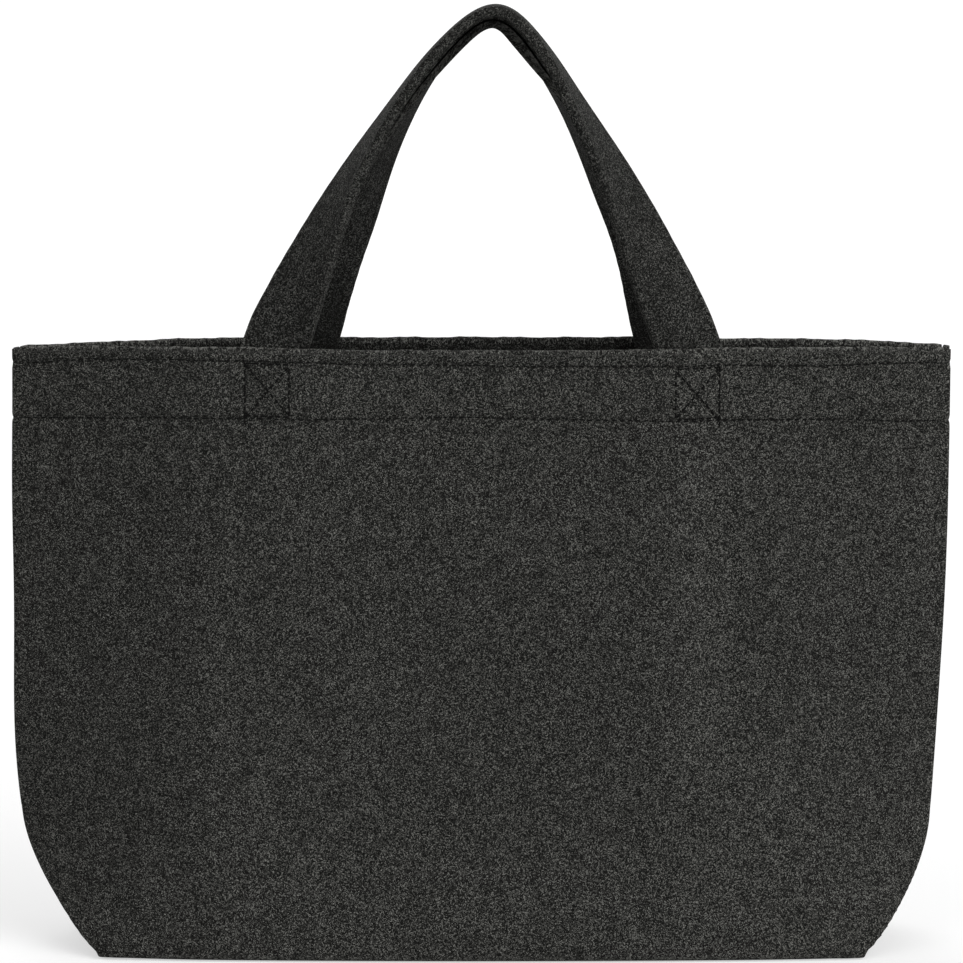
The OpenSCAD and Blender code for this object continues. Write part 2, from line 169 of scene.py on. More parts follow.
def step_in(s, z):
    """How far the wall steps back past each handle, where the sewn strap stiffens it, more at
    the right; the step dies away towards the side seams and the floor."""
    far = np.abs(s)
    step = ease((far - 90) / 34) - ease((far - 130) / 95)
    return np.where(s < 0, STEP_LEFT, STEP_RIGHT) * step * ease((z - 50) / 90)


def on_wall(s, z):
    """Point of the felt's middle layer and its outward direction, for arrays s and z of one
    shape. Both are read between the nearest rows and columns of the section tables. The
    lower front bellies out a little, the left side stands fuller under the hem, and both
    sides are drawn in low down, most of all at the base's corners."""
    row = np.clip(z, 0, HEM_LOW - TINY)
    col = np.clip(np.abs(s) / S_STEP, 0, LAST_COLUMN)
    i, j = row.astype(int), col.astype(int)
    f, g = row - i, col - j
    x, y, turn = (
        (t[i, j] * (1 - g) + t[i, j + 1] * g) * (1 - f)
        + (t[i + 1, j] * (1 - g) + t[i + 1, j + 1] * g) * f
        for t in TABLES
    )
    right = np.where(s < 0, -1.0, 1.0)
    belly = BELLY * np.clip(1 - (s / CORNER_S) ** 2, 0, 1) * np.exp(-z / BELLY_FALL)
    full = -1.1 * hump(z, 222, 46) * ease((-s - 150) / 70)
    full = full - right * 0.9 * hump(z, 62, 32) * ease((np.abs(s) - 150) / 70)
    full = full - right * 1.8 * hump(z, 0, 9) * ease((np.abs(s) - 165) / 20)
    point = np.stack([right * x + sway(z) + full, y - belly + step_in(s, z), z + 0 * s], -1)
    return point, np.stack([right * np.sin(turn), -np.cos(turn), 0 * turn], -1)


RIM_Y = float(on_wall(np.array([0.0]), np.array([HEM_LOW]))[0][0, 1])
HINGE_Y = -26.7077   # the front handle's hinge, as in the record; the back one's is opposite
STRAP_Y = HINGE_Y + FOLD_R + STRAP_GAP + STRAP_T / 2
TOP_Y = -STRAP_W / 2 - MEET_GAP


def settle(points, s, back=False):
    """The whole bag's small sag. The front rim hangs a little between the handles and is held
    up by them, the back rim stands highest in its middle, both hang towards the side seams,
    more at the left, and their corners are worn round. The base's corners lift off the floor."""
    z = points[..., 2]
    far, left = np.abs(s) / HALF_W, s < 0
    if back:
        droop = -0.25 * ease((np.abs(s) - 60) / 80) - np.where(left, 1.9, 0.7) * far**6
        droop = droop + 0.75 * (ease((s - 105) / 30) - ease((s - 180) / 45))
    else:
        droop = np.where(left, 1.4, 0.55) * ease((np.abs(s) - 40) / 100) - 0.55
        droop = droop - np.where(left, 2.8 * far**6, 1.8 * far**5)
    droop = droop + 0.2 * line_waves(s, 5, (61, 38, 97))
    droop = droop + 0.13 * line_waves(s, 6 + back, (21, 13, 8.5))
    ragged = 0.17 * line_waves(s, 8 + back, (7.3, 5.9, 5.1)) * ease((z - BAG_H + 7) / 6)
    droop = droop * (z / BAG_H) ** 3 + ragged
    lift = np.where(left, 0.5, 0.1) * np.clip(np.abs(s) / CORNER_S, 0, 1) ** 7 * np.exp(-z / 22)
    worn = np.where(left, 0.9, 1.2) * ease((np.abs(s) - HALF_W + 11) / 12) ** 2 * ease((z - 284) / 14)
    points[..., 2] = z + droop + lift - worn
    return points


# Meshes

def place(name, points, faces, uv, material, painted_shade=None, fray_and_highlight=None, painted_light=None):
    """A new object from points in millimetres, four-cornered faces, and each point's place
    on the flat cloth. Felt also carries three values at each point: how much shade is painted
    on it, how much paler fuzz it has at its edges with a highlight painted along the rim's
    fold, and how much light or shade is painted along it."""
    used, faces = np.unique(faces, return_inverse=True)
    faces = faces.reshape(-1, 4)
    mesh = bpy.data.meshes.new(name)
    mesh.from_pydata((points.reshape(-1, 3)[used] * MM).tolist(), [], faces.tolist())
    layer = mesh.uv_layers.new(name="cloth")
    layer.data.foreach_set("uv", (uv.reshape(-1, 2)[used][faces.ravel()] * MM).ravel())
    for key, values in (("painted_shade", painted_shade), ("fray_and_highlight", fray_and_highlight), ("painted_light", painted_light)):
        if values is not None:
            mesh.attributes.new(key, "FLOAT", "POINT").data.foreach_set("value", values.ravel()[used])
    mesh.polygons.foreach_set("use_smooth", np.ones(len(faces), bool))
    mesh.update()
    mesh.set_sharp_from_angle(angle=math.radians(SHARP))
    mesh.materials.append(material)
    obj = bpy.data.objects.new(name, mesh)
    bpy.context.scene.collection.objects.link(obj)
    return obj


def shell_faces(keep):
    """Faces of a closed sheet over the kept cells of a grid: the outer layer, the inner
    layer, whose points follow all the outer ones, and a strip along every bare edge."""
    rows, cols = keep.shape[0] + 1, keep.shape[1] + 1
    ids = np.arange(rows * cols).reshape(rows, cols)
    a, b, c, d = ids[:-1, :-1], ids[:-1, 1:], ids[1:, 1:], ids[1:, :-1]
    under = rows * cols
    ring = np.pad(keep, 1)
    bare = {
        (0, 1): keep & ~ring[:-2, 1:-1],
        (1, 2): keep & ~ring[1:-1, 2:],
        (2, 3): keep & ~ring[2:, 1:-1],
        (3, 0): keep & ~ring[1:-1, :-2],
    }
    corner = (a, b, c, d)
    faces = [np.stack([a, d, c, b], -1)[keep], np.stack([a, b, c, d], -1)[keep] + under]
    for (p, q), cells in bare.items():
        first, second = corner[p][cells], corner[q][cells]
        faces.append(np.stack([first, second, second + under, first + under], -1))
    return np.concatenate(faces)


# The panels

def half_columns():
    """Distances along the felt, from a panel's middle to the end of its seam allowance:
    even steps, closer round the sewn boxes, the corner and the seam's roll."""
    return np.concatenate([
        np.arange(0, 80, 2.7),
        np.arange(80, 122, 1.5),
        np.arange(122, 160, 2.6),
        np.linspace(160, CORNER_S, 12),
        CORNER_S + np.array([1.5, 3.0, 4.5, 6.0, 7.5, 9.0]),
        np.arange(CORNER_S + 11, HEM_END - 4, 2.1),
        np.linspace(HEM_END - 3.7, HEM_END, 4),
        np.linspace(HEM_END, ROLL_FROM + ROLL, 8)[1:],
        np.linspace(ROLL_FROM + ROLL, S_END, 5)[1:],
    ])


HALF_COLUMNS = half_columns()
S_COLUMNS = np.concatenate([-HALF_COLUMNS[:0:-1], HALF_COLUMNS])
MIDDLE_K = len(HALF_COLUMNS) - 1
CORNER_K = int(np.argmin(np.abs(HALF_COLUMNS - CORNER_S)))
FOLD_ROWS, EDGE_ROWS, BASE_ROWS = 10, 7, 14
TURN_STEPS, TURN_UP_COLUMNS = 4, 6           # steps round a turn-up, and with its upright part
UPRIGHT = SEAM_ALLOW - UP_R - FELT_T / 2     # height of a turn-up's upright part
CROWD_Z = 26                                 # below this the wall's rows crowd to the lower edge
FOLD_RUN, EDGE_RUN, BASE_RUN = 4.4, 6.3, 50  # felt round the fold, the lower edge and half the base
HEM_SHADE = 0.65                             # how much shade is painted on the hem's inside


def to_lines(px, pz, lines):
    """Distance of points to the nearest of several straight lines, each (x, z, x, z)."""
    nearest = np.full(np.shape(px), 1e9)
    for ax, az, bx, bz in lines:
        dx, dz = bx - ax, bz - az
        t = np.clip(((px - ax) * dx + (pz - az) * dz) / (dx * dx + dz * dz), 0, 1)
        nearest = np.minimum(nearest, np.hypot(px - ax - t * dx, pz - az - t * dz))
    return nearest


def row_z(s, row, back):
    """Height of the hem's top or low row of stitching along the felt, with a hand's wander. On
    the front the top row runs down from left to right, and turns up at its right end and down
    at its left one, and the low row rises a little in the middle and drops at both ends."""
    wander = 0.3 * line_waves(s, {"top": 21, "low": 22}[row] + 20 * back, (210, 83, 47))
    if row == "top":
        run = 0.65 - 0.0075 * s + 1.6 * ease((s - 175) / 45) - 2.0 * ease((-s - 190) / 30)
        return TOP_ROW_Z + wander + (0 if back else run)
    run = 0.2 - 0.003 * s + 1.8 * hump(s, -5, 62) - 1.0 * ease((np.abs(s) - 165) / 50)
    return LOW_ROW_Z + wander + (0 if back else run)


def box_lines(middle, tail, back):
    """The sewn box and its cross on one strap end: six lines in x and z. The outer upright
    runs on below the box by tail."""
    low, high = (float(row_z(np.array(middle), row, back)) for row in ("low", "top"))
    low, high = low + BOX_CLEAR, high - BOX_CLEAR
    side = math.copysign(BOX_W / 2, middle)
    inner, outer = middle - side, middle + side
    return [
        (outer, high + 1.0, outer, low - tail),
        (inner, high - 1.5, inner, low),
        (inner, high, outer, high),
        (outer, low, inner, low),
        (inner, low + 0.6, outer, high - 0.4),
        (outer, low - 1.2, inner, high - 0.8),
    ]


def grooves(s, z, boxes, back):
    """How far the stitching draws the felt in: a smooth dip of about 0.6 mm along each row
    and along the sewn boxes."""
    dip = sum(0.62 * hump(z, row_z(s, row, back), 1.15) for row in ("top", "low"))
    lines = [line for middle in boxes for line in box_lines(middle, BOX_TAIL, back)]
    return np.maximum(dip, 0.56 * hump(to_lines(s, z, lines), 0, 1.1))


def wall_relief(s, z, seed):
    """How far the felt stands off its plain section: slow dents over the wall, none at the
    seams, and a shallow step under the hem, whose second layer fills the wall out."""
    field = ease((z - 14) / 60) * ease((HEM_LOW - 6 - z) / 50) * ease((214 - np.abs(s)) / 50)
    dents = 1.1 * waves(s, z, seed, (260, 190, 140, 105)) + 0.35 * waves(s, z, seed + 9, (74, 58, 47))
    step = -0.7 * ease((HEM_LOW + 1.5 - z) / 5) * ease((z - 60) / 120)
    return field * dents + step * ease((222 - np.abs(s)) / 30)


def panel_painted_light(s):
    """Light and shade painted along the felt: a painted highlight most beside the right handle, a
    little all the way to the right of it, and painted shade to the left of the left one."""
    return 0.15 * hump(s, 110, 26) + 0.05 * ease((s - 90) / 40) - 0.14 * ease((-s - 112) / 40)


def panel_cells(heights, past, wall_from, floor_from):
    """Which cells of a panel's grid have felt: the hem and the fold as far as the hem goes, the
    wall to the roll at its seams, with their allowance between hem and base, the base to its
    corners, and the turned-up base ends. heights are the rows' own at the panel's middle, and
    past counts the columns past the corner."""
    far = np.abs(S_COLUMNS)
    row = np.arange(len(heights))[:, None]
    reach = np.maximum(far[:-1], far[1:])[None, :]
    base_from = floor_from + EDGE_ROWS
    seam_from = base_from + BASE_ROWS
    rolled = reach <= ROLL_FROM + ROLL + TINY
    sewn = (heights >= ALLOW_LOW) & (heights <= HEM_LOW - 2)
    ends = np.maximum(past[:-1], past[1:])[None, :]
    turned = (ends > 0) & (reach <= HALF_COLUMNS[CORNER_K + TURN_UP_COLUMNS] + TINY)
    keep = (row < wall_from) & (reach <= HEM_END + TINY)
    keep |= (row >= wall_from) & (row < floor_from) & (rolled | sewn)
    keep |= (row >= floor_from) & (row < base_from) & rolled
    keep |= (row >= base_from) & (reach <= CORNER_S + TINY)
    keep |= (row > base_from) & (row < seam_from - 2) & turned
    return keep


def panel(name, seed, boxes, back, material):
    """One panel as a closed sheet. Rows run from the hem's edge up inside the bag, over the
    rim's fold, down the wall, round the lower edge, under the base and up its seam; columns
    run from the left seam allowance to the right one. Each row gives the felt's middle and
    outward direction, and both faces stand half the felt's thickness off the middle."""
    s = S_COLUMNS
    far = np.abs(s)
    right = np.where(s < 0, -1.0, 1.0)
    up = np.array([0, 0, 1.0])
    rim, out = on_wall(s, 0 * s + HEM_LOW)
    rows, ways, dips, flat, fuzz_and_highlight_rows = [], [], [], [], []

    def add(points, way, dip, length, fuzz_and_highlight=0.0):
        rows.append(points)
        ways.append(way + 0 * points)
        dips.append(dip + 0 * points[..., 0])
        flat.append(length + 0 * points[..., 0])
        fuzz_and_highlight_rows.append(fuzz_and_highlight + 0 * points[..., 0])

    # Hem, inside the bag, thinner at its cut edge
    z = np.concatenate([[HEM_LOW + 0.0, HEM_LOW + 0.5], np.arange(HEM_LOW + 1.6, FOLD_Z - 0.6, 1.5)])
    z = z[:, None] + 0 * s
    hem = (rim - 2 * FOLD_MID * out)[None] * [1, 1, 0] + z[..., None] * up
    thin = 0.45 * (z < HEM_LOW + 0.2)
    dip = grooves(s, z, boxes, back) + thin
    add(hem, -out[None], dip, z - FOLD_Z - FOLD_RUN, 1.0 * (z < HEM_LOW + 0.7))
    hem_count = len(z)

    # Fold, from the inside over to the outside
    a = np.radians(np.linspace(180, 0, FOLD_ROWS + 1))[:-1, None, None]
    way = np.cos(a) * out[None] + np.sin(a) * up
    centre = (rim - FOLD_MID * out)[None] * [1, 1, 0] + FOLD_Z * up
    # Paler fuzz over the fold with a painted highlight: most along the fold's top and towards the
    # panel's ends, where the light catches it.
    worn = (0.4 + 0.6 * ease((far - 60) / 90)) * np.sin(a[..., 0]) ** 3
    add(centre + FOLD_MID * way, way, 0.0, -FOLD_MID * a[..., 0], worn)

    # Wall, down to the lower edge, and past the hem's end up to just under the rim
    z = np.concatenate([
        np.arange(FOLD_Z, HEM_LOW - 4, -1.3),
        np.arange(HEM_LOW - 5.5, EDGE_R + 2, -2.9),
        [EDGE_R],
    ])
    z = z[:, None] + 0 * s
    edge = CORNER_EDGE_R + (EDGE_R - CORNER_EDGE_R) * ease((CORNER_S - far) / 12)
    bend = edge - FELT_T / 2
    foot, way = on_wall(s, 0 * s + EDGE_R)
    rising = on_wall(s, 0 * s + EDGE_R + 2)[0] - foot
    flare = np.arctan2((rising * way).sum(-1), 2)
    low = edge - bend * np.sin(flare)
    z = z - (EDGE_R - low) * ease((CROWD_Z - z) / (CROWD_Z - EDGE_R))
    z = z + (BAG_H - 0.3 - FOLD_Z) * ease((z - FOLD_Z + 9) / 9) * (far > HEM_END + 0.1)
    wall, way = on_wall(s + 0 * z, z)
    wall = wall + wall_relief(s, z, seed)[..., None] * way
    tilt = (flare * ease((16 - z) / 12))[..., None]
    tilted = np.cos(tilt) * way - np.sin(tilt) * up
    add(wall, tilted, grooves(s, z, boxes, back), BAG_H - z)
    wall_from = hem_count + FOLD_ROWS
    floor_from = wall_from + len(z) - 1

    # Lower edge, from the wall's own slope round to the base
    b = flare + (np.pi / 2 - flare) * np.linspace(0, 1, EDGE_ROWS + 1)[1:, None]
    turn = np.cos(b)[..., None] * way[-1] - np.sin(b)[..., None] * up
    centre = wall[-1] - bend[:, None] * tilted[-1]
    run = BAG_H - low + edge * (b - flare)
    add(centre + bend[:, None] * turn, turn, 0.0, run, 0.5 * np.sin(2 * b))

    # Base, to its seam, and the turned-up ends in the columns past the corner
    start = rows[-1][-1]
    corner_x = np.clip(far / CORNER_S, 0, 1) * BASE_END
    past = np.clip(np.abs(np.arange(len(s)) - MIDDLE_K) - CORNER_K, 0, TURN_UP_COLUMNS)
    lean = np.radians(np.minimum(past, TURN_STEPS) / TURN_STEPS * 90)
    straight = np.maximum(past - TURN_STEPS, 0) / (TURN_UP_COLUMNS - TURN_STEPS)
    rise = UP_R * (1 - np.cos(lean)) + straight * UPRIGHT
    corner_start = np.interp(np.minimum(far, CORNER_S) * right, s, start[:, 1])
    seam_y = SEAM_BITE - FELT_T / 2 - UP_R
    f = np.linspace(0, 1, BASE_ROWS + 1)[1:, None]
    x = right * ((1 - f) * np.minimum(np.abs(start[:, 0]), BASE_END + 2) + f * corner_x)
    x = np.where(past > 0, right * (BASE_END + UP_R * np.sin(lean)), x)
    y = (1 - f) * corner_start + f * seam_y
    base = np.stack([x, y, FELT_T / 2 + rise + 0 * f], -1)
    way = np.stack([right * np.sin(lean), 0 * lean, -np.cos(lean)], -1)
    add(base, way[None], 0.0, BAG_H + EDGE_RUN + f * BASE_RUN)

    # Base seam, turned up
    g = np.radians(np.linspace(0, 90, TURN_STEPS + 1))[1:, None]
    g = np.concatenate([g, g[-1:], g[-1:]])
    extra = np.array([0] * TURN_STEPS + [0.5, 1.0])[:, None] * UPRIGHT
    z = FELT_T / 2 + UP_R * (1 - np.cos(g)) + extra
    seam = np.stack(np.broadcast_arrays(right * corner_x, seam_y + UP_R * np.sin(g), z), -1)
    way = np.stack(np.broadcast_arrays(0 * s, np.sin(g), -np.cos(g)), -1)
    add(seam, way, 0.0, BAG_H + (EDGE_RUN + BASE_RUN) + UP_R * g + extra)

    middle, way = np.concatenate(rows), np.concatenate(ways)
    dip, length, fuzz_and_highlight = np.concatenate(dips), np.concatenate(flat), np.concatenate(fuzz_and_highlight_rows)
    outer = middle + (FELT_T / 2 - dip)[..., None] * way
    inner = middle - FELT_T / 2 * way
    both = settle(np.stack([outer, inner]), s[None, None, :], back)
    both[..., 2] = np.maximum(both[..., 2], LEAST_Z)
    faces = shell_faces(panel_cells(middle[1:, MIDDLE_K, 2][:, None], past, wall_from, floor_from))
    if back:
        both[..., 1] *= -1
        faces = faces[:, ::-1]
    cloth = np.stack(np.broadcast_arrays(s + 0 * length, length), -1)
    # Painted shade in the stitching's grooves, darker where they are deeper.
    painted_shade = 0.6 * np.clip(dip / 0.6, 0, 1)
    # Painted shade over the hem's face inside the bag.
    painted_shade[:hem_count] = np.maximum(painted_shade[:hem_count], HEM_SHADE)
    # Painted light and shade along the panel, the same on both faces.
    painted_light = panel_painted_light(s) + 0 * dip
    return place(
        name, both, faces, np.stack([cloth, cloth + CUT_EDGE]), material,
        np.stack([painted_shade, 0 * painted_shade]), np.stack([fuzz_and_highlight, fuzz_and_highlight]), np.stack([painted_light, painted_light]))


# The straps

LEG_STEPS = 4000                        # steps in which a leg's lean is added up
DRAW_ANGLE, STRAP_BEND = 21, 20         # lean gained up a leg, and how late it bends over at the top
UNDER_SPREAD, INNER_SPREAD = 2.4, 0.5   # how far the under layer's two faces go where it hangs off
ROW_IN, ROW_OUT = -10.0, 12.3           # the strap's two rows of stitching, across it
FOLD_W = 1.4                            # how far the strap's folded edge is rounded


class Strap:
    """One handle's strip of felt, folded lengthwise, from one sewn end over the top to the
    other. Its leg rises from the rim with a lean that grows evenly and then bends over at the
    top, and the strap makes a quarter twist on the way."""

    def __init__(self, x, lean, twist, shift, gape, back):
        """x is where a leg starts at the rim, lean its angle there, twist how quickly the left
        and the right leg turn, and shift and gape are functions of the place on the strap."""
        self.x, self.lean, self.twist, self.back = x, lean, twist, back
        self.shift, self.gape = shift, gape
        u = (np.arange(LEG_STEPS) + 0.5) / LEG_STEPS
        a = np.radians(self.lean_at(u))
        self.length = x / np.mean(np.sin(a))
        start = np.zeros(1)
        self.leg_x = np.concatenate([start, np.cumsum(np.sin(a))]) * self.length / LEG_STEPS
        self.leg_z = np.concatenate([start, np.cumsum(np.cos(a))]) * self.length / LEG_STEPS
        self.sewn = (FOLD_Z - HEM_LOW - 1) / math.cos(math.radians(lean))

    def lean_at(self, u):
        """Angle from upright at fraction u of the leg: it ends level, at 90."""
        late = np.clip(u, 0, 1) ** STRAP_BEND
        return self.lean + DRAW_ANGLE * u + (90 - DRAW_ANGLE - self.lean) * late

    def points(self, h, w, d, left):
        """Points at distance h up the leg from the rim (below it, h is negative), w across
        the strap towards its cut edge and d off its middle towards its outer face. left is 1
        on the left leg and 0 on the right one. Towards the cut edge the under layer hangs off
        by what gape says, its lower face further than its upper one, so it looks thicker."""
        spread = np.where(d < -STRAP_T / 4, UNDER_SPREAD, INNER_SPREAD) * (d < 0)
        d = d - spread * self.gape(self.length - h, left) * ease((w - 9) / 6)
        u = np.clip(h / self.length, 0, 1)
        a = np.radians(np.where(h < 0, self.lean, self.lean_at(u)))
        quick = np.where(left > 0, self.twist[0], self.twist[1])
        t = np.radians(90 * (1 - (1 - u) ** quick) * ease(u / 0.12))
        grid = np.arange(LEG_STEPS + 1) / LEG_STEPS
        below = np.minimum(h, 0)
        x = self.x - np.interp(u, grid, self.leg_x) - below * np.sin(a)
        z = FOLD_Z + np.interp(u, grid, self.leg_z) + below * np.cos(a)
        y = STRAP_Y + (TOP_Y - STRAP_Y) * u * ease(u / 0.5) ** 0.5
        square = ease((h + 24) / 40)
        slide = -(1 - square) * w * np.cos(t) * np.tan(a)
        px = x + w * np.cos(a) * np.cos(t) + d * np.cos(a) * np.sin(t) - slide * np.sin(a)
        py = y + w * np.sin(t) - d * np.cos(t)
        pz = z + w * np.sin(a) * np.cos(t) + d * np.sin(a) * np.sin(t) + slide * np.cos(a)
        px = np.where(left > 0, -px, px) + self.shift(np.maximum(pz - FOLD_Z, 0), left)
        py = py + step_in(px, HEM_LOW) * (1 - ease(h / 70))
        return np.stack([px, -py if self.back else py, pz], -1)

    def along(self, run, w, d):
        """The same points by the distance run along the loop, from the right rim to the left."""
        left = (run > self.length) * 1.0
        return self.points(np.minimum(run, 2 * self.length - run), w, d, left)

    def steps(self):
        """Distances up one leg where the mesh has rings: closer at the rim, where it folds,
        and in the bend at the top."""
        top = self.length
        return np.concatenate([
            [-self.sewn, -self.sewn + 0.6],
            np.arange(-self.sewn + 3, -4, 2.6),
            np.arange(-3, 14, 0.8),
            np.arange(15, top - 44, 2.4),
            top - 42 * (1 - np.linspace(0, 1, 30)) ** 1.1,
        ])


def strap_profile():
    """The folded strip's section as an outer and an inner line, each (w, d), from the cut
    edge of the front layer round the fold to the cut edge of the back layer. The layers are
    drawn together along both rows of stitching, swell between them and part at the edge."""
    half, ply = STRAP_W / 2, STRAP_T / 2
    w = np.concatenate([[half, half - 0.12, half - 0.5], np.linspace(half - 1.3, -half + FOLD_W, 30)])
    between = (w - (ROW_IN + ROW_OUT) / 2) / (ROW_OUT - ROW_IN)
    swell = 0.22 * np.cos(np.pi * np.clip(between, -0.5, 0.5))
    drawn = 0.22 * (hump(w, ROW_IN, 1.3) + hump(w, ROW_OUT, 1.2))
    part = 0.05 + 0.12 * ease((w - 11.5) / 4.5)
    top = ply + swell - drawn + 0.12 * ease((w - 13) / 3)
    soft = np.array([0.75, 0.3, 0.08])
    top[:3] -= soft
    part[:3] += soft
    a = np.radians(np.linspace(90, 270, 13))[1:-1]
    bend_o = np.stack([-half + FOLD_W * (1 + np.cos(a)), ply * np.sin(a)], -1)
    bend_i = np.stack([-half + ply + 0.05 * np.cos(a), 0.05 * np.sin(a)], -1)
    face_o, face_i = np.stack([w, top], -1), np.stack([w, part], -1)
    down = np.array([1, -1])
    return (
        np.concatenate([face_o, bend_o, (face_o * down)[::-1]]),
        np.concatenate([face_i, bend_i, (face_i * down)[::-1]]),
    )


def strap_piece(name, strap, material, seed):
    """The whole strap as a closed folded sheet: the profile carried from the right sewn end to
    the left one, wandering a little sideways. Shade is painted on it along its rows of
    stitching, on its inner face at the rim and fading out above it, and in the gap between its
    layers near its cut edge, and it is fraying along that edge."""
    h = strap.steps()
    h_all = np.concatenate([h, h[-2::-1]])[:, None]
    left = np.concatenate([np.zeros(len(h)), np.ones(len(h) - 1)])[:, None]
    run = np.concatenate([h, 2 * strap.length - h[-2::-1]])[:, None]
    wander = 0.3 * line_waves(run, seed, (88, 53, 140))
    wander = wander + 0.12 * line_waves(run, seed + 9, (19, 12, 7.1, 5.6))
    wander = wander * ease((h_all - 2) / 30)
    outer, inner = strap_profile()
    layers = []
    for line in (outer, inner):
        w, d = line[:, 0][None], line[:, 1][None]
        layers.append(strap.points(h_all + 0 * w, w + wander, d + 0 * h_all, left))
    layers = np.stack(layers)
    keep = np.ones((layers.shape[1] - 1, layers.shape[2] - 1), bool)
    faces = shell_faces(keep)
    if not strap.back:
        faces = faces[:, ::-1]
    across = np.concatenate([[0], np.cumsum(np.hypot(*np.diff(outer, axis=0).T))])
    cloth = np.stack(np.broadcast_arrays(across[None] + 7.0 * seed, run), -1)
    w = outer[:, 0][None] + 0 * run
    # Painted shade along the strap's two rows of stitching.
    painted_shade = 0.2 * (hump(w, ROW_IN, 1.2) + hump(w, ROW_OUT, 1.1))
    # Painted shade on the strap's inner face at the rim, fading out over about 55 mm above it.
    painted_shade = painted_shade + 0.8 * (outer[:, 1][None] < 0) * (1 - ease((h_all - 8) / 55))
    # Painted shade in the gap between the strap's two layers, near the cut edge.
    shade = painted_shade + 0.35 * ease((w - STRAP_W / 2 + 2) / 1.5)
    fray_and_highlight = 0.6 * ease((w - STRAP_W / 2 + 1.2) / 1.0) + 0.1 * ease((-w - STRAP_W / 2 + 1.6) / 1.4)
    return place(
        name, layers, faces, np.stack([cloth, cloth + CUT_EDGE]), material,
        np.stack([painted_shade, shade]), np.stack([fray_and_highlight, fray_and_highlight]))


# Stitches

HEM_SINK, BOX_SINK, HANDLE_SINK = 0.55, 0.42, 0.42   # how far under the felt's face threads run
BOX_INSIDE_SINK = 0.1                                # the same on the strap ends


def stitch_threads(name, centres, along, out, material, length, rise=0.22, radius=0.5):
    """Short threads, one per centre, lying along a direction on a surface that faces out.
    Each is a six-sided tube that bows up by rise in its middle and dives in at both ends."""
    rings, sides = 6, 6
    t = np.linspace(-1, 1, rings)
    bow = rise * (1 - 1.9 * t**2)
    girth = radius * (1 - 0.42 * t**4)
    turn = 2 * np.pi * np.arange(sides) / sides
    along = along / np.linalg.norm(along, axis=-1, keepdims=True)
    out = out - (out * along).sum(-1, keepdims=True) * along
    out = out / np.linalg.norm(out, axis=-1, keepdims=True)
    side = np.cross(along, out)
    lift = bow[:, None] + girth[:, None] * np.sin(turn)
    wide = girth[:, None] * np.cos(turn)
    go = t[:, None] * length / 2 + 0 * lift
    points = (
        centres[:, None, None, :]
        + along[:, None, None, :] * go[None, ..., None]
        + out[:, None, None, :] * lift[None, ..., None]
        + side[:, None, None, :] * wide[None, ..., None]
    )
    i, j = np.meshgrid(np.arange(rings - 1), np.arange(sides), indexing="ij")
    k = (j + 1) % sides
    here, ahead = i * sides, (i + 1) * sides
    tube = np.stack([here + j, here + k, ahead + k, ahead + j], -1).reshape(-1, 4)
    end = (rings - 1) * sides
    caps = np.array([
        [3, 2, 1, 0],
        [5, 4, 3, 0],
        [end, end + 1, end + 2, end + 3],
        [end, end + 3, end + 4, end + 5],
    ])
    one = np.concatenate([tube, caps])[:, ::-1]
    faces = (one[None] + (np.arange(len(centres)) * rings * sides)[:, None, None]).reshape(-1, 4)
    uv = np.broadcast_to(np.stack([go, wide + lift], -1), points.shape[:-1] + (2,))
    uv = uv + 11.0 * np.arange(len(centres))[:, None, None, None] * [1, 0]
    return place(name, points, faces, uv, material)


def spaced(low, high, pitch):
    """Even places from low to high, as near to pitch apart as they fit."""
    count = max(1, int(round((high - low) / pitch)))
    return low + (np.arange(count) + 0.5) * (high - low) / count


def mirror_y(*arrays):
    """Points or directions mirrored from the front panel to the back one."""
    return [a * np.array([1, -1, 1]) for a in arrays]


def with_mirror(*arrays):
    """Each array followed by its mirror image."""
    return [np.concatenate(pair) for pair in zip(arrays, mirror_y(*arrays))]


def joined(back, *lists):
    """Each list of arrays as one array, mirrored for the back panel."""
    arrays = [np.concatenate(parts) for parts in lists]
    return mirror_y(*arrays) if back else arrays


def hem_thread(name, row, back, material):
    """A row of hem stitching: stitches outside on the wall and, half a pitch on, inside on
    the hem."""
    stand = FELT_T / 2 - HEM_SINK
    places, ways, outs = [], [], []
    for inside in (False, True):
        s = spaced(-HEM_END + 3, HEM_END - 3, STITCH) + (STITCH / 2 if inside else 0)
        depth = -2 * FOLD_MID - stand if inside else stand
        near = [on_wall(s + e, row_z(s + e, row, back)) for e in (-0.5, 0, 0.5)]
        out = near[1][1]
        places.append(settle(near[1][0] + depth * out, s, back))
        ways.append(near[2][0] - near[0][0])
        outs.append(-out if inside else out)
    lines = joined(back, places, ways, outs)
    return stitch_threads(name, *lines, material, length=2.3, rise=0.02, radius=0.4)


def box_thread(name, middle, back, material):
    """A sewn box with its cross: stitches outside on the wall and inside on the strap end."""
    places, ways, outs = [], [], []
    for inside in (False, True):
        for ax, az, bx, bz in box_lines(middle, 0.0 if inside else BOX_TAIL, back):
            long = math.hypot(bx - ax, bz - az)
            t = (spaced(0, long, pitch=3.6) / long)[:, None]
            x, z = ax + (bx - ax) * t, az + (bz - az) * t
            y = STRAP_Y + STRAP_T / 2 - BOX_INSIDE_SINK if inside else RIM_Y - FELT_T / 2 + BOX_SINK
            point = np.concatenate([x, y + step_in(x, HEM_LOW), z], 1)
            places.append(settle(point, point[:, 0], back))
            ways.append(np.array([bx - ax, 0, bz - az]) + 0 * point)
            outs.append(np.array([0, 1.0 if inside else -1.0, 0]) + 0 * point)
    lines = joined(back, places, ways, outs)
    return stitch_threads(name, *lines, material, length=2.5, rise=0.12, radius=0.45)


